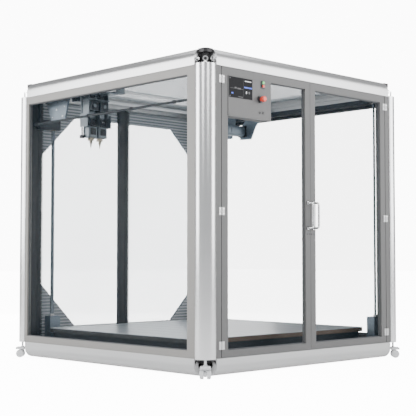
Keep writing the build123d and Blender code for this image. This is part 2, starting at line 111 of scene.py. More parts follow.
# each finish: two tones, the grain's size and stretch, gloss and relief
finishes = {
    "satinAlongX": dict(tones=((0.50, 0.503, 0.506), (0.60, 0.603, 0.606)), grain=60, stretch=(0.02, 1, 1),
        rough=0.34, spread=0.08, metal=1.0, relief=0.03),
    "satinAlongY": dict(tones=((0.46, 0.463, 0.466), (0.56, 0.563, 0.566)), grain=60, stretch=(1, 0.02, 1),
        rough=0.30, spread=0.10, metal=1.0, relief=0.03),
    "satinAlongZ": dict(tones=((0.64, 0.645, 0.65), (0.74, 0.745, 0.75)), grain=60, stretch=(1, 1, 0.02),
        rough=0.26, spread=0.10, metal=1.0, relief=0.03),
    "doorGrey": dict(tones=((0.095, 0.095, 0.095), (0.118, 0.118, 0.118)), grain=140, stretch=(1, 1, 0.1),
        rough=0.50, spread=0.12, metal=0.1, relief=0.05),
    "windowGrey": dict(tones=((0.19, 0.185, 0.176), (0.225, 0.218, 0.208)), grain=120, stretch=(1, 0.1, 1),
        rough=0.50, spread=0.12, metal=0.1, relief=0.05),
    "blackCasting": dict(tones=((0.008, 0.008, 0.009), (0.02, 0.02, 0.022)), grain=260, stretch=(1, 1, 1),
        rough=0.5, spread=0.2, metal=0.2, relief=0.25),
    "brightSteel": dict(tones=((0.66, 0.66, 0.66), (0.80, 0.80, 0.80)), grain=180, stretch=(1, 1, 0.3),
        rough=0.22, spread=0.14, metal=1.0, relief=0.05),
    "hingeWhite": dict(tones=((0.52, 0.52, 0.52), (0.66, 0.66, 0.66)), grain=300, stretch=(1, 1, 0.1),
        rough=0.34, spread=0.12, metal=0.3, relief=0.06),
    "polishedChrome": dict(tones=((0.82, 0.83, 0.84), (0.88, 0.89, 0.90)), grain=40, stretch=(0.2, 1, 1),
        rough=0.07, spread=0.06, metal=1.0, relief=0.01),
    "tubeBright": dict(tones=((0.88, 0.90, 0.92), (0.95, 0.96, 0.97)), grain=50, stretch=(0.02, 1, 1),
        rough=0.3, spread=0.08, metal=0.15, relief=0.02),
    "blackSteel": dict(tones=((0.018, 0.022, 0.028), (0.032, 0.038, 0.046)), grain=120, stretch=(1, 1, 1),
        rough=0.38, spread=0.16, metal=0.2, relief=0.10),
    "shaftBlack": dict(tones=((0.022, 0.026, 0.030), (0.036, 0.042, 0.047)), grain=90, stretch=(1, 0.05, 1),
        rough=0.55, spread=0.10, metal=0.1, relief=0.03),
    "blueGrey": dict(tones=((0.16, 0.20, 0.235), (0.22, 0.26, 0.30)), grain=90, stretch=(1, 1, 0.2),
        rough=0.36, spread=0.12, metal=0.6, relief=0.04),
    "rodGrey": dict(tones=((0.17, 0.20, 0.23), (0.27, 0.31, 0.35)), grain=120, stretch=(1, 1, 0.02),
        rough=0.25, spread=0.10, metal=0.9, relief=0.03),
    "headMetal": dict(tones=((0.16, 0.185, 0.205), (0.25, 0.28, 0.30)), grain=150, stretch=(1, 1, 0.4),
        rough=0.36, spread=0.15, metal=0.6, relief=0.05),
    "headSilver": dict(tones=((0.62, 0.65, 0.67), (0.78, 0.80, 0.82)), grain=150, stretch=(1, 0.3, 1),
        rough=0.28, spread=0.12, metal=0.9, relief=0.04),
    "brassWarm": dict(tones=((0.24, 0.215, 0.17), (0.34, 0.31, 0.25)), grain=200, stretch=(1, 1, 0.2),
        rough=0.34, spread=0.1, metal=0.8, relief=0.04),
    "blackPlastic": dict(tones=((0.012, 0.013, 0.015), (0.026, 0.028, 0.030)), grain=320, stretch=(1, 1, 1),
        rough=0.46, spread=0.14, metal=0.0, relief=0.16),
    "rubberBlack": dict(tones=((0.010, 0.010, 0.010), (0.026, 0.026, 0.026)), grain=240, stretch=(1, 1, 1),
        rough=0.72, spread=0.12, metal=0.0, relief=0.25),
    "gasketGrey": dict(tones=((0.07, 0.075, 0.08), (0.10, 0.105, 0.11)), grain=240, stretch=(1, 1, 1),
        rough=0.7, spread=0.12, metal=0.0, relief=0.2),
    "castorGrey": dict(tones=((0.60, 0.61, 0.62), (0.74, 0.75, 0.76)), grain=260, stretch=(1, 1, 1),
        rough=0.40, spread=0.12, metal=0.1, relief=0.08),
    "buttonGreen": dict(tones=((0.12, 0.62, 0.16), (0.17, 0.70, 0.22)), grain=200, stretch=(1, 1, 1),
        rough=0.26, spread=0.08, metal=0.0, relief=0.04),
    "buttonRed": dict(tones=((0.68, 0.05, 0.03), (0.80, 0.09, 0.06)), grain=200, stretch=(1, 1, 1),
        rough=0.24, spread=0.08, metal=0.0, relief=0.03),
    "bedFilm": dict(tones=((0.31, 0.34, 0.37), (0.37, 0.40, 0.43)), grain=18, stretch=(1, 0.2, 1),
        rough=0.30, spread=0.12, metal=0.0, relief=0.02),
}


def makeFinish(name):
    look = finishes[name]
    finish = Finish(name)
    grain = finish.noise(look["grain"], look["stretch"])
    cloud = finish.noise(2.5, (1, 1, 1), 2.0)    # slow change over the whole part
    tone = finish.mix(grain * 0.65 + cloud * 0.35, rgba(look["tones"][0]), rgba(look["tones"][1]))
    rough = look["rough"] - look["spread"] / 2 + look["spread"] * (grain * 0.5 + cloud * 0.5)
    fine = finish.noise(look["grain"] * 6, look["stretch"], 2.0)
    relief = finish.add("ShaderNodeBump", {}, {"Strength": look["relief"], "Distance": 0.001, "Height": fine})
    return finish.close({"Base Color": tone, "Roughness": rough, "Metallic": look["metal"], "Normal": relief})


paneLook = dict(tone=(0.012, 0.020, 0.026), clear=0.16, smear=0.02, rough=0.03, gloss=0.0)
rearPaneLook = dict(tone=(0.56, 0.74, 0.86), clear=0.34, smear=0.05, rough=0.25, gloss=0.1)
skylightLook = dict(tone=(0.78, 0.85, 0.90), clear=0.30, smear=0.06, rough=0.25, gloss=0.2)


def makePane(name, look):
    # a pane lets most light through, with faint smears that catch it
    finish = Finish(name)
    smear = finish.noise(3.0, (1, 1, 0.35), 4.0)
    tone = finish.mix(smear, rgba(look["tone"]), rgba([value * 1.08 for value in look["tone"]]))
    alpha = look["clear"] - look["smear"] / 2 + smear * look["smear"]
    return finish.close({"Base Color": tone, "Roughness": look["rough"] + smear * 0.03, "Alpha": alpha,
                         "Specular IOR Level": look["gloss"]})


ribLook = dict(tone=(0.15, 0.18, 0.20), light=(0.21, 0.24, 0.265), alpha=0.86, rough=0.35)
ribRaised = dict(tone=(0.36, 0.40, 0.43), light=(0.46, 0.50, 0.53), alpha=0.93, rough=0.35)
roofLook = dict(tone=(0.22, 0.25, 0.28), light=(0.29, 0.33, 0.36), alpha=0.55, rough=0.35)


def makeRibSheet(name, look):
    # translucent twin-wall sheet, a little brighter where light comes through
    finish = Finish(name)
    cloud = finish.noise(1.6, (1, 1, 1), 2.0)
    flute = finish.noise(70, (0.02, 1, 1), 2.0)
    tone = finish.mix(cloud * 0.6 + flute * 0.4, rgba(look["tone"]), rgba(look["light"]))
    return finish.close({"Base Color": tone, "Roughness": look["rough"] + flute * 0.1,
                         "Alpha": look["alpha"] + cloud * 0.06})


boardLook = dict(dark=(0.085, 0.060, 0.042), light=(0.16, 0.115, 0.082), plies=900, rough=0.5)


def makeBoard(name, look):
    # pressed board: thin layers across its edge and a speckled face
    finish = Finish(name)
    plies = finish.noise(60, (0.1, 0.1, look["plies"] / 60), 2.0)
    speck = finish.noise(180, (1, 1, 1), 3.0)
    tone = finish.mix(plies * 0.6 + speck * 0.4, rgba(look["dark"]), rgba(look["light"]))
    relief = finish.add("ShaderNodeBump", {}, {"Strength": 0.15, "Distance": 0.001, "Height": speck})
    return finish.close({"Base Color": tone, "Roughness": look["rough"] + speck * 0.15, "Normal": relief})


screenLook = dict(dark=(0.004, 0.004, 0.005), light=(0.014, 0.015, 0.017), rough=0.30, gloss=0.05)


def makeScreen(name, look):
    finish = Finish(name)
    grid = finish.noise(120, (1, 1, 1), 4.0)
    tone = finish.mix(grid, rgba(look["dark"]), rgba(look["light"]))
    return finish.close({"Base Color": tone, "Roughness": look["rough"] + grid * 0.1,
                         "Specular IOR Level": look["gloss"]})


def makeGlow(name, color, strength):
    finish = Finish(name)
    flicker = finish.noise(90, (1, 1, 1), 2.0)
    tone = finish.mix(flicker * 0.4, rgba(color), rgba([value * 0.75 for value in color]))
    return finish.close({"Base Color": tone, "Roughness": 0.4, "Emission Color": tone,
                         "Emission Strength": strength})


materials = {name: makeFinish(name) for name in finishes}
materials["pane"] = makePane("pane", paneLook)
materials["rearPane"] = makePane("rearPane", rearPaneLook)
materials["ribSheet"] = makeRibSheet("ribSheet", ribLook)
materials["ribRaised"] = makeRibSheet("ribRaised", ribRaised)
materials["roofSheet"] = makeRibSheet("roofSheet", roofLook)
materials["board"] = makeBoard("board", boardLook)
materials["skylight"] = makePane("skylight", skylightLook)
materials["screen"] = makeScreen("screen", screenLook)
materials["glowBlue"] = makeGlow("glowBlue", (0.02, 0.08, 0.55), 0.5)
materials["glowWhite"] = makeGlow("glowWhite", (0.75, 0.76, 0.78), 0.4)
materials["glowGrey"] = makeGlow("glowGrey", (0.05, 0.05, 0.055), 0.1)
print("finishes made:", len(materials))

nodeFinish = {
    "beam_top_front": "satinAlongX", "beam_top_rear": "satinAlongX",
    "beam_bottom_front": "satinAlongX", "beam_bottom_rear": "satinAlongX",
    "beam_top_left": "satinAlongY", "beam_top_right": "satinAlongY",
    "beam_bottom_left": "satinAlongY", "beam_bottom_right": "satinAlongY",
    "corner_connectors": "blackCasting", "lifting_eyes": "brightSteel", "door_jambs": "doorGrey",
    "door_frame_left": "doorGrey", "door_frame_right": "doorGrey", "panel_housing": "doorGrey",
    "window_frame_left": "windowGrey", "window_frame_right": "windowGrey",
    "door_glass_left": "pane", "door_glass_right": "pane", "window_pane_left": "pane",
    "window_pane_right": "pane", "rear_window": "rearPane", "rear_panel": "ribSheet",
    "roof_panel": "roofSheet",
    "bed_base": "blackSteel", "gantry_frame": "blackSteel", "bed_board": "board", "bed_sheet": "bedFilm",
    "hinge_leaves_fixed": "hingeWhite", "hinge_leaves_left": "hingeWhite", "hinge_leaves_right": "hingeWhite",
    "hinge_pins": "shaftBlack", "door_handle_left": "polishedChrome", "door_handle_right": "polishedChrome",
    "bridge_tubes": "tubeBright", "touchscreen": "screen", "button_bezel": "blackPlastic",
    "cable_columns": "blackPlastic", "power_inlet": "blackPlastic", "green_button": "buttonGreen",
    "red_button": "buttonRed", "estop_head": "buttonRed", "estop_collar": "blackPlastic",
    "z_foot_boxes": "blueGrey", "bridge_plates": "blueGrey", "sync_shaft": "shaftBlack",
    "z_rods": "rodGrey", "head_carriage": "headMetal", "hot_ends": "brassWarm",
}
for corner in corners:
    nodeFinish["post_" + corner] = "satinAlongZ"
    nodeFinish["castor_fork_" + corner] = "castorGrey"
    nodeFinish["castor_wheels_" + corner] = "castorGrey"


def dressNodes():
    for name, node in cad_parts.items():
        material = materials[nodeFinish[name]]
        if not node.material_slots:
            node.data.materials.append(material)
        for held in node.material_slots:
            held.material = material


dressNodes()
print("frame nodes dressed:", len(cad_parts))


def block(mesh, low, high):
    made = bmesh.ops.create_cube(mesh, size=1.0)["verts"]
    low, high = Vector(low), Vector(high)
    bmesh.ops.scale(mesh, vec=high - low, verts=made)
    bmesh.ops.translate(mesh, vec=(high + low) / 2, verts=made)
    return made


def edgesOf(verts):
    return list(dict.fromkeys(edge for vert in verts for edge in vert.link_edges))


def bar(mesh, start, end, radius, segments=24, tip=None):
    start, end = Vector(start), Vector(end)
    along = end - start
    turn = along.to_track_quat("Z", "Y").to_matrix().to_4x4()
    place = Matrix.Translation((start + end) / 2) @ turn
    return bmesh.ops.create_cone(mesh, cap_ends=True, segments=segments, radius1=radius,
                                 radius2=radius if tip is None else tip, depth=along.length,
                                 matrix=place)["verts"]


def ring(mesh, centre, axis, radius, thickness, steps=32):
    axis = Vector(axis).normalized()
    side = axis.orthogonal().normalized()
    turn = Matrix((side, axis, side.cross(axis))).transposed().to_4x4()
    place = Matrix.Translation(Vector(centre) + side * radius) @ turn
    section = bmesh.ops.create_circle(mesh, segments=10, radius=thickness, matrix=place)["verts"]
    bmesh.ops.spin(mesh, geom=section + edgesOf(section), cent=centre, axis=axis, angle=math.tau, steps=steps,
                   use_merge=True)


def finishPiece(name, mesh, body, material, soften=0.0, replaced=()):
    bmesh.ops.remove_doubles(mesh, verts=mesh.verts, dist=0.000001)
    bmesh.ops.recalc_face_normals(mesh, faces=mesh.faces)
    for face in mesh.faces:
        face.smooth = True
    for edge in mesh.edges:
        edge.smooth = len(edge.link_faces) == 2 and edge.calc_face_angle() < math.radians(35)
    data = bpy.data.meshes.new(name)
    mesh.to_mesh(data)
    mesh.free()
    piece = bpy.data.objects.new(name, data)
    bpy.context.collection.objects.link(piece)
    data.materials.append(materials[material])
    if soften:
        bevel = piece.modifiers.new("soften", "BEVEL")
        bevel.width = soften
        bevel.segments = 2
        bevel.limit_method = "ANGLE"
        bevel.angle_limit = math.radians(40)
        bevel.harden_normals = True
    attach(piece, body)
    if replaced:
        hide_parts(*replaced)
    return piece


# ribs of the rear and roof sheets: thin raised strips that stop at the octagonal windows
ribs = dict(pitch=0.020, width=0.009, proud=0.0018, margin=0.002, halfWidth=0.700, halfFlat=0.424,
            roofRim=0.07)


def octagonReach(height, low, high):
    # half width of the octagonal window at this place across its height
    inside = min(height - low, high - height)
    if inside <= 0:
        return 0.0
    return ribs["halfFlat"] + min(inside, ribs["halfWidth"] - ribs["halfFlat"])


def ribSpans(low, high, reach):
    # where one rib runs: right across the sheet, or in two parts beside the window
    start, end = low.x + ribs["margin"], high.x - ribs["margin"]
    return [(start, -reach), (reach, end)] if reach else [(start, end)]


def makeRearRibs():
    low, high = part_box("rear_panel")
    paneLow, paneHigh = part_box("rear_window")
    half = ribs["width"] / 2
    mesh = bmesh.new()
    for index in range(int((high.z - low.z) / ribs["pitch"])):
        z = low.z + (index + 0.5) * ribs["pitch"]
        for start, end in ribSpans(low, high, octagonReach(z, paneLow.z, paneHigh.z)):
            block(mesh, (start, low.y - ribs["proud"], z - half), (end, low.y, z + half))
            block(mesh, (start, high.y, z - half), (end, high.y + ribs["proud"], z + half))
    finishPiece("rear_ribs", mesh, "frame", "ribRaised")


def makeRoofRibs():
    low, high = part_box("roof_panel")
    half = ribs["width"] / 2
    mesh = bmesh.new()
    for index in range(int((high.y - low.y) / ribs["pitch"])):
        y = low.y + (index + 0.5) * ribs["pitch"]
        reach = octagonReach(y, low.y + ribs["roofRim"], high.y - ribs["roofRim"])
        for start, end in ribSpans(low, high, reach):
            block(mesh, (start, y - half, low.z - ribs["proud"]), (end, y + half, low.z))
    finishPiece("roof_ribs", mesh, "frame", "ribRaised")


skylight = dict(gap=0.0006, thickness=0.001)    # gap is the air under the roof sheet


def makeRoofLight():
    # pale octagonal skylight sheet under the roof
    low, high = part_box("roof_panel")
    halfX = ribs["halfWidth"]
    halfY = (high.y - low.y) / 2 - ribs["roofRim"]
    cut = ribs["halfWidth"] - ribs["halfFlat"]
    mesh = bmesh.new()
    turned = Matrix.Rotation(math.tau / 16, 4, "Z")
    rim = bmesh.ops.create_circle(mesh, cap_ends=True, segments=8, radius=1.0, matrix=turned)["verts"]
    for vert in rim:
        wide = abs(vert.co.x) > abs(vert.co.y)
        vert.co.x = math.copysign(halfX if wide else halfX - cut, vert.co.x)
        vert.co.y = midY + math.copysign(halfY - cut if wide else halfY, vert.co.y)
        vert.co.z = low.z - skylight["gap"]
    made = bmesh.ops.extrude_face_region(mesh, geom=mesh.faces[:])["geom"]
    lower = [item for item in made if isinstance(item, bmesh.types.BMVert)]
    bmesh.ops.translate(mesh, vec=(0, 0, -skylight["thickness"]), verts=lower)
    finishPiece("roof_light", mesh, "frame", "skylight")


makeRearRibs()
makeRoofRibs()
makeRoofLight()
print("ribbed sheets made")

gasket = dict(width=0.005, proud=0.0015)


def makeGasket(name, pane, body, across):
    # dark rubber round a pane, on both of its faces; across is the axis through the glass, 0 or 1
    low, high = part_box(pane)
    side = 1 - across
    mesh = bmesh.new()
    strips = [((low[side], low.z), (low[side] + gasket["width"], high.z)),
              ((high[side] - gasket["width"], low.z), (high[side], high.z)),
              ((low[side], low.z), (high[side], low.z + gasket["width"])),
              ((low[side], high.z - gasket["width"]), (high[side], high.z))]
    for (startSide, startZ), (endSide, endZ) in strips:
        start, end = Vector((0, 0, startZ)), Vector((0, 0, endZ))
        start[side], end[side] = startSide, endSide
        start[across], end[across] = low[across] - gasket["proud"], high[across] + gasket["proud"]
        block(mesh, start, end)
    finishPiece(name, mesh, body, "gasketGrey", 0.0004)


for side in ("left", "right"):
    makeGasket("door_gasket_" + side, "door_glass_" + side, "door_" + side, 1)
    makeGasket("window_gasket_" + side, "window_pane_" + side, "frame", 0)

# axis and face are how far the hinge's axis and the leaves' face lie inside the leaves' box
hingeScrew = dict(radius=0.0028, proud=0.0012, rise=0.013, offset=0.0125, axis=0.0035, face=0.0025,
                  heights=(0.166, 0.865, 1.562))


def makeHingeScrews():
    look = hingeScrew
    for side, sign in (("left", -1), ("right", 1)):
        low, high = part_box("hinge_leaves_" + side)
        face = high.y - look["face"]
        axisX = (low.x if sign < 0 else high.x) - sign * look["axis"]
        for part, body, inward in (("door", "door_" + side, -sign), ("jamb", "frame", sign)):
            x = axisX + inward * look["offset"]
            mesh = bmesh.new()
            for height in look["heights"]:
                for z in (height - look["rise"], height + look["rise"]):
                    bar(mesh, (x, face, z), (x, face - look["proud"], z), look["radius"], 12)
            finishPiece("hinge_screws_" + side + "_" + part, mesh, body, "brightSteel", 0.0003)


makeHingeScrews()
print("gaskets and hinge screws made")

# what the touchscreen shows: plain bars and a dial, as places across and up the screen from 0 to 1
screenMarks = {
    "screen_title": ("glowWhite", ((0.68, 0.86, 0.96, 0.90),)),
    "screen_bar": ("glowBlue", ((0.65, 0.53, 0.99, 0.60), (0.10, 0.17, 0.18, 0.24))),
    "screen_dial": ("glowWhite", ((0.73, 0.26, 0.77, 0.38),)),
    "screen_lines": ("glowGrey", ((0.04, 0.44, 0.60, 0.455), (0.62, 0.08, 0.625, 0.95),
                                  (0.24, 0.46, 0.32, 0.52), (0.36, 0.42, 0.50, 0.50),
                                  (0.84, 0.26, 0.90, 0.38), (0.40, 0.04, 0.60, 0.07))),
}
markProud = 0.0004    # how far the marks stand out of the screen


def makeScreenMarks():
    low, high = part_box("touchscreen")
    size = high - low
    for name, (material, marks) in screenMarks.items():
        mesh = bmesh.new()
        for left, bottom, right, top in marks:
            block(mesh, (low.x + left * size.x, low.y - markProud, low.z + bottom * size.z),
                  (low.x + right * size.x, low.y, low.z + top * size.z))
        finishPiece(name, mesh, "door_left", material)


bezel = dict(reach=0.002, line=0.0015, proud=0.001)    # reach: screen's edge to the line's outside
panelScrew = dict(radius=0.0032, proud=0.0015, inset=0.012)
dataPort = dict(places=((-0.428, 1.4105), (-0.403, 1.412)), radius=0.0062, thickness=0.0012, proud=0.0022)


def makePanelFittings():
    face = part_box("panel_housing")[0].y
    low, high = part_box("touchscreen")
    left, right = low.x - bezel["reach"], high.x + bezel["reach"]
    bottom, top = low.z - bezel["reach"], high.z + bezel["reach"]
    front = face - bezel["proud"]
    mesh = bmesh.new()
    for z in (bottom, top - bezel["line"]):
        block(mesh, (left, front, z), (right, face, z + bezel["line"]))
    for x in (left, right - bezel["line"]):
        block(mesh, (x, front, bottom), (x + bezel["line"], face, top))
    finishPiece("screen_bezel", mesh, "door_left", "blackPlastic", 0.0003)

    low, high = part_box("panel_housing")
    mesh = bmesh.new()
    for x in (low.x + panelScrew["inset"], high.x - panelScrew["inset"]):
        for z in (low.z + panelScrew["inset"], (low.z + high.z) / 2, high.z - panelScrew["inset"]):
            bar(mesh, (x, face, z), (x, face - panelScrew["proud"], z), panelScrew["radius"], 16)
    for x, z in dataPort["places"]:
        ring(mesh, (x, face - dataPort["proud"], z), (0, 1, 0), dataPort["radius"], dataPort["thickness"], 24)
    finishPiece("panel_screws", mesh, "door_left", "doorGrey", 0.0003)


makeScreenMarks()
makePanelFittings()
print("control panel dressed")

castorCover = dict(radius=0.0185, rim=0.01739, hub=0.006, proud=0.0016, hubProud=0.00288, halfTrack=0.028)


def makeCastorCovers():
    look = castorCover
    for corner, (sideX, sideY) in corners.items():
        low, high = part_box("castor_wheels_" + corner)
        centre = (low + high) / 2
        axle = Vector((sideY, -sideX, 0)).normalized()    # square to the corner's diagonal
        mesh = bmesh.new()
        for sign in (-1, 1):
            outward = axle * sign
            face = centre + outward * look["halfTrack"]
            bar(mesh, face, face + outward * look["proud"], look["radius"], 40, look["rim"])
            bar(mesh, face, face + outward * look["hubProud"], look["hub"], 24)
        finishPiece("castor_covers_" + corner, mesh, "wheels_" + corner, "castorGrey", 0.0004)


makeCastorCovers()

# what is screwed into each open corner: where a bolt starts and ends (outwards in x and y from the
# machine's middle, up from boltRise), its radius and its number of sides
cornerBolts = (
    ((0.7575, 0.822, 0.0), (0.7675, 0.822, 0.0), 0.0065, 6),
    ((0.816, 0.764, 0.0), (0.816, 0.774, 0.0), 0.0065, 6),
    ((0.7575, 0.800, -0.018), (0.7635, 0.800, -0.018), 0.004, 12),
    ((0.794, 0.764, -0.018), (0.794, 0.770, -0.018), 0.004, 12),
    ((0.7575, 0.800, 0.020), (0.7635, 0.800, 0.020), 0.004, 12),
    ((0.794, 0.764, 0.020), (0.794, 0.770, 0.020), 0.004, 12),
    ((0.829, 0.766, 0.004), (0.829, 0.786, 0.001), 0.0035, 16),
)
boltRise = 0.033    # main bolts' height over the beam's underside
shackle = dict(place=(0.775, 0.832, 0.001), radius=0.011, thickness=0.0022)


def makeCornerBolts():
    # bolts into the beams' ends and a shackle link beside each lifting eye
    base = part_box("beam_top_front")[0].z + boltRise
    mesh = bmesh.new()
    for sideX, sideY in corners.values():
        def place(point):
            return Vector((sideX * point[0], midY + sideY * point[1], base + point[2]))
        for start, end, radius, sides in cornerBolts:
            bar(mesh, place(start), place(end), radius, sides)
        ring(mesh, place(shackle["place"]), (sideX, 0, 0), shackle["radius"], shackle["thickness"])
    finishPiece("corner_bolts", mesh, "frame", "brightSteel", 0.0006)


makeCornerBolts()
print("corners dressed")

# screwRises are from the columns' foot, screwDrops from their top; toothSides are the toothed edges' places
column = dict(screwIn=0.022, screwRight=-0.055, screwRises=(0.03, 0.05), screwDrops=(0.12, 0.14, 0.16, 0.06),
              screwRadius=0.003, screwProud=0.002, toothPitch=0.012, toothSides=(-0.704, 0.014),
              toothIn=0.018, toothOut=0.006, toothHalf=0.0035, toothProud=0.003, spineIn=0.030)


def makeColumnScrews():
    look = column
    low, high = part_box("cable_columns")
    heights = [low.z + rise for rise in look["screwRises"]] + [high.z - drop for drop in look["screwDrops"]]
    mesh = bmesh.new()
    for x in (low.x + look["screwIn"], look["screwRight"]):
        for z in heights:
            bar(mesh, (x, low.y, z), (x, low.y - look["screwProud"], z), look["screwRadius"], 12)
    finishPiece("column_screws", mesh, "frame", "brightSteel", 0.0003)

    mesh = bmesh.new()
    for side in look["toothSides"]:
        for index in range(int((high.z - low.z) / look["toothPitch"])):
            z = low.z + (index + 0.5) * look["toothPitch"]
            block(mesh, (side - look["toothIn"], low.y - look["toothProud"], z - look["toothHalf"]),
                  (side + look["toothOut"], low.y - 0.0002, z + look["toothHalf"]))
        block(mesh, (side - look["spineIn"], low.y - 0.002, low.z + 0.002),
              (side - look["toothOut"], low.y - 0.0001, high.z - 0.002))
    finishPiece("column_links", mesh, "frame", "blackPlastic", 0.0005)


# the lift's rods, outwards from the middle in x, along the depth in y; foot is the middle of the foot box
rods = {
    "front": dict(x=0.738, y=-0.750, radius=0.007, foot=(0.732, -0.739)),
    "rear": dict(x=0.640, y=0.762, radius=0.011, foot=(0.640, 0.7545)),
}
companion = dict(x=0.770, y=-0.762, radius=0.0045, drop=0.15)
collar = dict(extra=0.006, low=0.012, high=0.016)    # extra radius, and the two collars' heights
footScrew = dict(radius=0.0035, proud=0.004, spread=0.024, back=0.020)


def makeRodCompanions():
    # pale pipe beside each front rod, and collars and screws where the rods enter their foot boxes
    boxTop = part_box("z_foot_boxes")[1].z
    low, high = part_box("z_rods")
    mesh = bmesh.new()
    for sign in (-1, 1):
        x, y = sign * companion["x"], midY + companion["y"]
        bar(mesh, (x, y, low.z - companion["drop"]), (x, y, high.z), companion["radius"], 20)
    finishPiece("rod_companions", mesh, "frame", "headSilver")

    mesh = bmesh.new()
    for rod in rods.values():
        for sign in (-1, 1):
            x, y = sign * rod["x"], midY + rod["y"]
            for z, height in ((low.z, collar["low"]), (high.z - collar["high"], collar["high"])):
                bar(mesh, (x, y, z), (x, y, z + height), rod["radius"] + collar["extra"], 32)
    finishPiece("rod_collars", mesh, "frame", "brightSteel", 0.001)

    mesh = bmesh.new()
    for sign in (-1, 1):
        for rod in rods.values():
            y = midY + rod["foot"][1] - footScrew["back"]
            for shift in (-footScrew["spread"], footScrew["spread"]):
                x = sign * rod["foot"][0] + shift
                bar(mesh, (x, y, boxTop), (x, y, boxTop + footScrew["proud"]), footScrew["radius"], 12)
    finishPiece("foot_screws", mesh, "frame", "brightSteel", 0.0004)


makeColumnScrews()
makeRodCompanions()
print("uprights dressed")

gantryBelt = dict(inner=0.752, outer=0.762, front=-0.715, back=0.730, thickness=0.0014, gap=0.001)
railBolt = dict(x=0.774, pitch=0.145, radius=0.0035, proud=0.003)
# bolts on top of the rear carriers, outwards in x and along the depth in y
carrierBolt = dict(radius=0.0045, proud=0.0035, places=((0.615, 0.742), (0.665, 0.742), (0.615, 0.778),
                                                        (0.665, 0.778), (0.700, 0.760), (0.730, 0.760)))
gantryLevel = dict(railLow=1.600, carrierTop=1.500)
bush = dict(extra=0.0038, thickness=0.0026)    # ring radius beyond the rod's, and the ring's own


def makeGantryDetail():
    low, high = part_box("gantry_frame")
    railLow, carrierTop = gantryLevel["railLow"], gantryLevel["carrierTop"]
    beltTop = railLow - gantryBelt["gap"]
    mesh = bmesh.new()
    for sign in (-1, 1):
        left, right = sorted((sign * gantryBelt["inner"], sign * gantryBelt["outer"]))
        block(mesh, (left, midY + gantryBelt["front"], beltTop - gantryBelt["thickness"]),
              (right, midY + gantryBelt["back"], beltTop))
    finishPiece("gantry_belts", mesh, "gantry", "rubberBlack", 0.0002)

    mesh = bmesh.new()
    for sign in (-1, 1):
        for index in range(-4, 5):
            x, y = sign * railBolt["x"], midY + index * railBolt["pitch"]
            bar(mesh, (x, y, railLow), (x, y, railLow - railBolt["proud"]), railBolt["radius"], 12)
        for out, along in carrierBolt["places"]:
            x, y = sign * out, midY + along
            boltTop = carrierTop + carrierBolt["proud"]
            bar(mesh, (x, y, carrierTop), (x, y, boltTop), carrierBolt["radius"], 6)
    finishPiece("gantry_bolts", mesh, "gantry", "brightSteel", 0.0004)

    mesh = bmesh.new()
    levels = {"front": (railLow, high.z), "rear": (low.z, carrierTop)}
    for sign in (-1, 1):
        for name, rod in rods.items():
            for z in levels[name]:
                ring(mesh, (sign * rod["x"], midY + rod["y"], z), (0, 0, 1), rod["radius"] + bush["extra"],
                     bush["thickness"])
    finishPiece("gantry_bushes", mesh, "gantry", "brassWarm")


# starts are along the depth; the screw stands on top of the clamp
shaftClamp = dict(starts=(-0.560, -0.20, 0.20, 0.60), length=0.014, radius=0.0105, screwRadius=0.002,
                  screwLow=0.009, screwHigh=0.0122)


def makeShaftClamps():
    look = shaftClamp
    low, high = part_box("sync_shaft")
    centre = (low + high) / 2
    mesh = bmesh.new()
    for start in look["starts"]:
        front = Vector((centre.x, midY + start, centre.z))
        middle = front + Vector((0, look["length"] / 2, 0))
        bar(mesh, front, front + Vector((0, look["length"], 0)), look["radius"], 32)
        bar(mesh, middle + Vector((0, 0, look["screwLow"])), middle + Vector((0, 0, look["screwHigh"])),
            look["screwRadius"], 12)
    finishPiece("shaft_clamps", mesh, "sync_shaft", "shaftBlack", 0.0004)


makeGantryDetail()
makeShaftClamps()
print("gantry dressed")

# the bridge's motor housing: its limits, with the depth taken from the middle of the machine
bridgeMotor = dict(left=0.500, right=0.684, front=0.314, back=0.376, low=1.474, high=1.546, corner=0.016,
                   capSide=0.690, capDepth=0.008, capProud=0.003, bandLeft=0.540, bandWidth=0.006,
                   bandProud=0.002, bandInset=0.020)


def makeBridgeMotor():
    look = bridgeMotor
    front, back = midY + look["front"], midY + look["back"]
    mesh = bmesh.new()
    made = block(mesh, (look["left"], front, look["low"]), (look["right"], back, look["high"]))
    bmesh.ops.bevel(mesh, geom=edgesOf(made), offset=look["corner"], segments=5, profile=0.5,
                    affect="EDGES", material=-1)
    finishPiece("bridge_motor", mesh, "bridge", "blueGrey")

    mesh = bmesh.new()
    proud = look["capProud"]
    block(mesh, (look["right"] - look["capDepth"], front - proud, look["low"] - proud),
          (look["capSide"], back + proud, look["high"] + proud))
    block(mesh, (look["bandLeft"], front - look["bandProud"], look["low"] + look["bandInset"]),
          (look["bandLeft"] + look["bandWidth"], front, look["high"] - look["bandInset"]))
    finishPiece("bridge_motor_cap", mesh, "bridge", "blackPlastic", 0.002)


tubes = dict(y=(0.200, 0.590), z=1.640)    # the bridge's two tubes, y from the middle
# places are along the depth and up, on the side plates and on the motor's arm
bridgeBolt = dict(radius=0.0042, plateX=0.742, armX=0.702, proud=0.004,
                  plate=((0.520, 1.500), (0.620, 1.500), (0.500, 1.560), (0.660, 1.560), (0.580, 1.545),
                         (0.480, 1.588), (0.570, 1.588), (0.670, 1.588)),
                  arm=((0.200, 1.612), (0.345, 1.530), (0.345, 1.470), (0.290, 1.470), (0.270, 1.590)))
tubeCollar = dict(outer=0.730, inner=0.724, radius=0.0148)
endBoss = dict(inner=0.742, outer=0.747, radius=0.009, z=1.641)


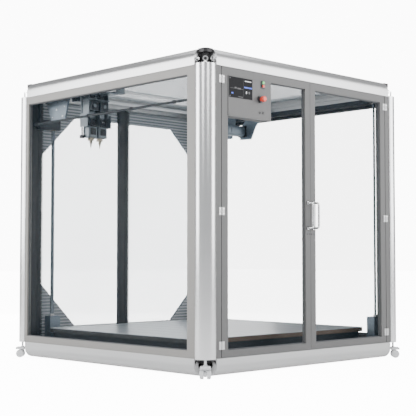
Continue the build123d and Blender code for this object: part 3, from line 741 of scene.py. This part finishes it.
def makeBridgeBolts():
    look = bridgeBolt
    mesh = bmesh.new()
    for sign in (-1, 1):
        for along, z in look["plate"]:
            y = midY + along
            bar(mesh, (sign * look["plateX"], y, z), (sign * (look["plateX"] + look["proud"]), y, z),
                look["radius"], 6)
        for along in tubes["y"]:
            y, z = midY + along, tubes["z"]
            bar(mesh, (sign * tubeCollar["outer"], y, z), (sign * tubeCollar["inner"], y, z),
                tubeCollar["radius"], 32)
        y = midY + tubes["y"][1]
        bar(mesh, (sign * endBoss["inner"], y, endBoss["z"]), (sign * endBoss["outer"], y, endBoss["z"]),
            endBoss["radius"], 24)
    for along, z in look["arm"]:
        y = midY + along
        bar(mesh, (look["armX"], y, z), (look["armX"] + look["proud"], y, z), look["radius"], 6)
    finishPiece("bridge_bolts", mesh, "bridge", "brightSteel", 0.0005)


makeBridgeMotor()
makeBridgeBolts()
print("bridge dressed")

# the head's own limits, x across and y from the middle of the depth; every height is above the floor
headLook = dict(left=-0.722, right=-0.530, front=0.297, back=0.387)
deck = dict(front=0.224, back=0.566, low=1.6235, high=1.632)
tubeBlock = dict(length=0.060, half=0.022, height=0.020, bore=0.0115)
headPlate = dict(side=0.014, low=1.430, thickness=0.008, gap=0.004, shelfLow=1.585, shelfHigh=1.592)
headCheek = dict(inset=0.020, width=0.006, low=1.480)
extruder = dict(x=(-0.664, -0.588), depth=0.049, finLow=1.428, finPitch=0.0052, finHeight=0.0022,
                finCount=10, finRadius=0.020, coreRadius=0.0085)
motorLook = dict(big=0.056, bigLength=0.062, bigDepth=0.033, bigZ=1.549,
                 small=0.036, smallLength=0.030, smallDepth=0.043, smallZ=1.612,
                 side=0.040, sideLength=0.034, sideX=-0.700, sideY=(0.255, 0.440), sideZ=1.602)
# blocks centred on an extruder or a nozzle: half width, depth behind the head's front, height
headBlocks = {
    "gearPlate": (0.029, 0.004, 0.0115, 1.520, 1.578),
    "throat": (0.018, 0.028, 0.070, 1.478, 1.516),
    "heater": (0.033, 0.018, 0.078, 1.356, 1.426),
    "heaterFace": (0.020, 0.014, 0.018, 1.372, 1.412),
    "nozzleBlock": (0.014, 0.033, 0.061, 1.338, 1.356),
}
# the row of small arched clips behind the deck
clips = dict(count=11, pitch=0.016, front=0.400, back=0.436, wall=0.004, low=1.633, high=1.653, half=0.0065)
fan = dict(depth=0.010, z=1.445, radius=0.019, rim=0.0028, hub=0.007, blades=7, frame=0.0215, wall=0.004)
nozzle = dict(x=(-0.660, -0.592), depth=0.045, hexTop=1.338, hexLow=1.322, tip=1.292)


def motor(mesh, centre, size, length, axis):
    # square stepper motor with chamfered corners, its length along axis 0, 1 or 2
    half = Vector((size / 2,) * 3)
    half[axis] = length / 2
    made = block(mesh, centre - half, centre + half)
    edges = [edge for edge in edgesOf(made) if abs((edge.verts[0].co - edge.verts[1].co)[axis]) > 0.001]
    bmesh.ops.bevel(mesh, geom=edges, offset=size * 0.10, segments=1, profile=0.5,
                    affect="EDGES", material=-1)


def headBlock(mesh, name, x, front):
    half, near, far, low, high = headBlocks[name]
    return block(mesh, (x - half, front + near, low), (x + half, front + far, high))


def makeHeadFrame():
    # deck over the tubes, its four sliding blocks, the back plate, shelf and cheeks
    left, right = headLook["left"], headLook["right"]
    front, back = midY + headLook["front"], midY + headLook["back"]
    mesh = bmesh.new()
    block(mesh, (left, midY + deck["front"], deck["low"]), (right, midY + deck["back"], deck["high"]))
    half, height, bore, length = (tubeBlock[key] for key in ("half", "height", "bore", "length"))
    walls = (((0, -half, -height), (length, half, -bore)),
             ((0, -half, bore), (length, half, height)),
             ((0, -half, -bore), (length, -bore, bore)),
             ((0, bore, -bore), (length, half, bore)))
    for along in tubes["y"]:
        for x in (left, right - length):
            mid = Vector((x, midY + along, tubes["z"]))
            for low, high in walls:
                block(mesh, mid + Vector(low), mid + Vector(high))
    start, end = left + headPlate["side"], right - headPlate["side"]
    plateBack = back - headPlate["gap"]
    plateFront = plateBack - headPlate["thickness"]
    block(mesh, (start, plateFront, headPlate["low"]), (end, plateBack, deck["low"]))
    block(mesh, (start, front + 0.010, headPlate["shelfLow"]), (end, plateBack, headPlate["shelfHigh"]))
    for x in (left + headCheek["inset"], right - headCheek["inset"] - headCheek["width"]):
        block(mesh, (x, front + 0.013, headCheek["low"]), (x + headCheek["width"], plateFront, deck["low"]))
    finishPiece("head_frame", mesh, "head", "headMetal", 0.0012, ["head_carriage"])


def makeHeadMotors():
    look = motorLook
    front = midY + headLook["front"]
    mesh = bmesh.new()
    for x in extruder["x"]:
        big = Vector((x, front + look["bigDepth"], look["bigZ"]))
        small = Vector((x, front + look["smallDepth"], look["smallZ"]))
        motor(mesh, big, look["big"], look["bigLength"], 1)
        motor(mesh, small, look["small"], look["smallLength"], 2)
    for along in look["sideY"]:
        motor(mesh, Vector((look["sideX"], midY + along, look["sideZ"])), look["side"], look["sideLength"], 2)
    half, wall, low, high = (clips[key] for key in ("half", "wall", "low", "high"))
    clipFront, clipBack = midY + clips["front"], midY + clips["back"]
    for index in range(clips["count"]):
        x = headLook["left"] + headPlate["side"] + index * clips["pitch"]
        for y in (clipFront, clipBack):
            block(mesh, (x - half, y, low), (x + half, y + wall, high))
        block(mesh, (x - 0.003, clipFront + wall, high - 0.003), (x + 0.003, clipBack, high))
    finishPiece("head_motors", mesh, "head", "blackSteel", 0.0008)


def makeExtruders():
    # gear plates, finned coolers and heater housings, with a duct wall on each side
    look = extruder
    front = midY + headLook["front"]
    y = front + look["depth"]
    mesh = bmesh.new()
    for x in look["x"]:
        headBlock(mesh, "gearPlate", x, front)
        bar(mesh, (x, front + 0.004, motorLook["bigZ"]), (x, front - 0.0015, motorLook["bigZ"]), 0.011, 32)
        for index in range(look["finCount"]):
            z = look["finLow"] + index * look["finPitch"]
            bar(mesh, (x, y, z), (x, y, z + look["finHeight"]), look["finRadius"], 32)
        bar(mesh, (x, y, 1.398), (x, y, 1.520), look["coreRadius"], 24)
        headBlock(mesh, "throat", x, front)
        made = headBlock(mesh, "heater", x, front)
        bmesh.ops.bevel(mesh, geom=edgesOf(made), offset=0.006, segments=3, profile=0.5,
                        affect="EDGES", material=-1)
    for x in (headLook["left"] + 0.004, headLook["right"] - 0.009):
        block(mesh, (x, front + 0.006, 1.420), (x + 0.005, front + 0.080, 1.500))
    finishPiece("extruder_bodies", mesh, "head", "headMetal", 0.0008)


def makeHeadFans():
    # a fan in front of each cooler, a dark plate on each heater housing, and the probe at the left
    front = midY + headLook["front"]
    outer, wall = fan["frame"], fan["wall"]
    mesh = bmesh.new()
    for x in extruder["x"]:
        centre = Vector((x, front + fan["depth"], fan["z"]))
        ring(mesh, centre, (0, 1, 0), fan["radius"], fan["rim"])
        bar(mesh, centre + Vector((0, -0.002, 0)), centre + Vector((0, 0.008, 0)), fan["hub"], 24)
        for index in range(fan["blades"]):
            blade = bmesh.ops.create_cube(mesh, size=1.0)["verts"]
            swing = Matrix.Rotation(index * math.tau / fan["blades"], 4, "Y")
            pitch = Matrix.Rotation(math.radians(35), 4, "X")
            hub = Matrix.Translation(centre + Vector((0, 0.003, 0)))
            out = Matrix.Translation((0.0115, 0, 0))
            shape = Matrix.Diagonal((0.011, 0.0012, 0.008, 1))
            bmesh.ops.transform(mesh, matrix=hub @ swing @ out @ pitch @ shape, verts=blade)
        low, high = fan["z"] - outer, fan["z"] + outer
        for start in (x - outer, x + outer - wall):
            block(mesh, (start, centre.y, low), (start + wall, centre.y + 0.010, high))
        for start in (low, high - wall):
            block(mesh, (x - outer, centre.y, start), (x + outer, centre.y + 0.010, start + wall))
        headBlock(mesh, "heaterFace", x, front)
    block(mesh, (-0.716, front + 0.060, 1.352), (-0.698, front + 0.086, 1.372))
    bar(mesh, (-0.707, front + 0.073, 1.372), (-0.707, front + 0.073, 1.436), 0.004, 16)
    finishPiece("head_fans", mesh, "head", "blackPlastic", 0.0005)


def makeNozzles():
    look = nozzle
    front = midY + headLook["front"]
    y = front + look["depth"]
    mesh = bmesh.new()
    for x in look["x"]:
        headBlock(mesh, "nozzleBlock", x, front)
        bar(mesh, (x, y, look["hexTop"]), (x, y, look["hexLow"]), 0.0095, 6)
        bar(mesh, (x, y, look["hexLow"]), (x, y, look["tip"]), 0.0060, 24, 0.0012)
        bar(mesh, (x - 0.014, front + 0.040, 1.347), (x - 0.020, front + 0.040, 1.347), 0.003, 12)
    finishPiece("nozzles", mesh, "head", "brassWarm", 0.0006, ["hot_ends"])


makeHeadFrame()
makeHeadMotors()
makeExtruders()
makeHeadFans()
makeNozzles()
print("print head made")

# painted shade: thin black sheets on the frame's inner faces, where they lie in shade; x outwards from the
# middle, y from the middle of the depth, z above the floor
shadeSheets = (((0.764, 0.7655, 0.101), (0.811, 0.7695, 1.631)),    # inner faces of the rear corners
           ((0.8104, -0.708, 1.5875), (0.8118, 0.745, 1.6315)))    # along the side windows' top bars


def makePaintedShade():
    mesh = bmesh.new()
    for sign in (-1, 1):
        for low, high in shadeSheets:
            left, right = sorted((sign * low[0], sign * high[0]))
            block(mesh, (left, midY + low[1], low[2]), (right, midY + high[1], high[2]))
    finishPiece("corner_painted_shade", mesh, "frame", "blackPlastic", 0.0002)


makePaintedShade()

bedHighlightShadeSeams = dict(width=0.004, below=0.0005, above=0.0008, seams=11, seamHalf=0.0006, seamInset=0.0025,
               seamProud=0.0004, sideShade=0.0008)


def makeBedDetail():
    # painted highlight as a thin bright strip round the sheet's edge, the sheet's seams, and painted shade as
    # black strips on the board's two sides
    look = bedHighlightShadeSeams
    low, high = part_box("bed_sheet")
    bottom, top = low.z - look["below"], high.z + look["above"]
    mesh = bmesh.new()
    for y in (low.y, high.y - look["width"]):
        block(mesh, (low.x, y, bottom), (high.x, y + look["width"], top))
    for x in (low.x, high.x - look["width"]):
        block(mesh, (x, low.y, bottom), (x + look["width"], high.y, top))
    finishPiece("bed_edge_highlight", mesh, "frame", "headSilver", 0.0004)

    mesh = bmesh.new()
    start = low.x + look["seamInset"]
    pitch = (high.x - low.x - look["seamInset"] * 2) / (look["seams"] - 1)
    for index in range(look["seams"]):
        x = start + index * pitch
        block(mesh, (x - look["seamHalf"], low.y + look["width"], high.z),
              (x + look["seamHalf"], high.y - look["width"], high.z + look["seamProud"]))
    finishPiece("bed_lines", mesh, "frame", "blueGrey")

    # painted shade: black strips on the board's two sides, where its edge falls into shade
    low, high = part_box("bed_board")
    mesh = bmesh.new()
    for x in (low.x - look["sideShade"], high.x):
        block(mesh, (x, low.y, low.z), (x + look["sideShade"], high.y, high.z))
    finishPiece("bed_side_shade", mesh, "frame", "blackPlastic", 0.0002)


handleWasher = dict(inset=0.010, behind=0.0025, radius=0.0098, thickness=0.0016)
latchScrew = dict(x=(0.008, 0.030), y=-0.846, z=0.757, proud=0.002, radius=0.0036)


def makeHandleFeet():
    for side, sign in (("left", -1), ("right", 1)):
        low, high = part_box("door_handle_" + side)
        x, y = (low.x + high.x) / 2, high.y - handleWasher["behind"]
        mesh = bmesh.new()
        for z in (low.z + handleWasher["inset"], high.z - handleWasher["inset"]):
            ring(mesh, (x, y, z), (0, 1, 0), handleWasher["radius"], handleWasher["thickness"], 40)
        finishPiece("handle_washers_" + side, mesh, "door_" + side, "blackPlastic")

        mesh = bmesh.new()
        y, z = midY + latchScrew["y"], latchScrew["z"]
        for out in latchScrew["x"]:
            bar(mesh, (sign * out, y, z), (sign * out, y - latchScrew["proud"], z), latchScrew["radius"], 16)
        finishPiece("latch_screws_" + side, mesh, "door_" + side, "blackPlastic", 0.0003)


inlet = dict(pins=(-0.012, 0.0, 0.012), pinHalf=0.001, pinRise=0.004, pinDeep=0.009, pinTip=0.001,
             screws=(-0.042, 0.042), screwRadius=0.004, screwProud=0.0015)


def makeInlet():
    # the three pins and two screws of the mains inlet at the rear
    low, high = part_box("power_inlet")
    centre = (low + high) / 2
    mesh = bmesh.new()
    for shift in inlet["pins"]:
        x = centre.x + shift
        block(mesh, (x - inlet["pinHalf"], high.y - inlet["pinDeep"], centre.z - inlet["pinRise"]),
              (x + inlet["pinHalf"], high.y - inlet["pinTip"], centre.z + inlet["pinRise"]))
    for shift in inlet["screws"]:
        x = centre.x + shift
        bar(mesh, (x, high.y, centre.z), (x, high.y + inlet["screwProud"], centre.z),
            inlet["screwRadius"], 16)
    finishPiece("inlet_pins", mesh, "frame", "brassWarm", 0.0002)


makeBedDetail()
makeHandleFeet()
makeInlet()
print("bed, handles and inlet dressed")

# where the camera stands, its tilt and turn in degrees and its lens in millimetres
view = dict(place=(-4.5021, midY - 4.6125, 0.6152), tilt=92.855, turn=-44.35, lens=88.49)


def makeCamera():
    data = bpy.data.cameras.new("camera")
    data.lens = view["lens"]
    data.sensor_width = 36
    camera = bpy.data.objects.new("camera", data)
    camera.location = view["place"]
    camera.rotation_euler = (math.radians(view["tilt"]), 0, math.radians(view["turn"]))
    bpy.context.collection.objects.link(camera)
    bpy.context.scene.camera = camera


# room lights the machine; the camera sees the backdrop's strength and floorSeen of it on the floor
studio = dict(room=0.55, roomColor=(0.97, 0.98, 1.0), backdrop=14.0, floorGlow=0.28, floorSeen=0.86)

# each softbox: where it stands, where it points, its width and height, its power
softboxes = {
    "keyLeft": dict(place=(-4.4, 3.0, 2.3), aim=(-0.8, 0, 1.2), size=(3.6, 3.2), power=300),
    "keyFront": dict(place=(3.2, -4.6, 2.3), aim=(0, -0.8, 1.2), size=(3.6, 3.2), power=240),
    "fillLeft": dict(place=(-5.0, -2.2, 3.2), aim=(-0.8, 0, 0.8), size=(1.4, 2.0), power=90),
    "fillFront": dict(place=(-2.0, -5.0, 3.2), aim=(0, -0.8, 0.8), size=(1.4, 2.0), power=70),
    "above": dict(place=(0, 0, 4.6), aim=(0, 0, 1), size=(4.0, 4.0), power=200),
    "behind": dict(place=(2.8, 4.2, 1.8), aim=(0, 0.8, 0.8), size=(3.4, 2.6), power=160),
}


def makeLights():
    for name, look in softboxes.items():
        data = bpy.data.lights.new(name, "AREA")
        data.shape = "RECTANGLE"
        data.size, data.size_y = look["size"]
        data.energy = look["power"]
        lamp = bpy.data.objects.new(name, data)
        lamp.location = look["place"]
        toward = Vector(look["aim"]) - Vector(look["place"])
        lamp.rotation_euler = toward.to_track_quat("-Z", "Y").to_euler()
        bpy.context.collection.objects.link(lamp)
    world = bpy.data.worlds.new("studio")
    world.use_nodes = True
    bpy.context.scene.world = world
    tree = world.node_tree
    room = tree.nodes["Background"]
    room.inputs["Color"].default_value = (*studio["roomColor"], 1)
    room.inputs["Strength"].default_value = studio["room"]
    backdrop = tree.nodes.new("ShaderNodeBackground")    # what the camera itself sees behind the machine
    backdrop.inputs["Strength"].default_value = studio["backdrop"]
    seen = tree.nodes.new("ShaderNodeLightPath")
    choice = tree.nodes.new("ShaderNodeMixShader")
    tree.links.new(seen.outputs["Is Camera Ray"], choice.inputs[0])
    tree.links.new(room.outputs[0], choice.inputs[1])
    tree.links.new(backdrop.outputs[0], choice.inputs[2])
    tree.links.new(choice.outputs[0], tree.nodes["World Output"].inputs["Surface"])


def makeFloor():
    mesh = bmesh.new()
    bmesh.ops.create_grid(mesh, x_segments=1, y_segments=1, size=40)
    bmesh.ops.translate(mesh, vec=(0, 0, -0.0005), verts=mesh.verts)
    data = bpy.data.meshes.new("floor")
    mesh.to_mesh(data)
    mesh.free()
    floor = bpy.data.objects.new("floor", data)
    bpy.context.collection.objects.link(floor)
    finish = Finish("paleFloor")
    seen = finish.add("ShaderNodeLightPath", out="Is Camera Ray")
    lit = studio["floorGlow"] / studio["backdrop"]
    glow = finish.mix(seen, rgba((lit,) * 3), rgba((studio["floorSeen"],) * 3))
    data.materials.append(finish.close({"Base Color": (0.93, 0.93, 0.93, 1), "Roughness": 0.9,
                                        "Specular IOR Level": 0.0, "Emission Color": glow,
                                        "Emission Strength": studio["backdrop"]}))


makeCamera()
makeLights()
makeFloor()
print("camera, lights and floor placed")
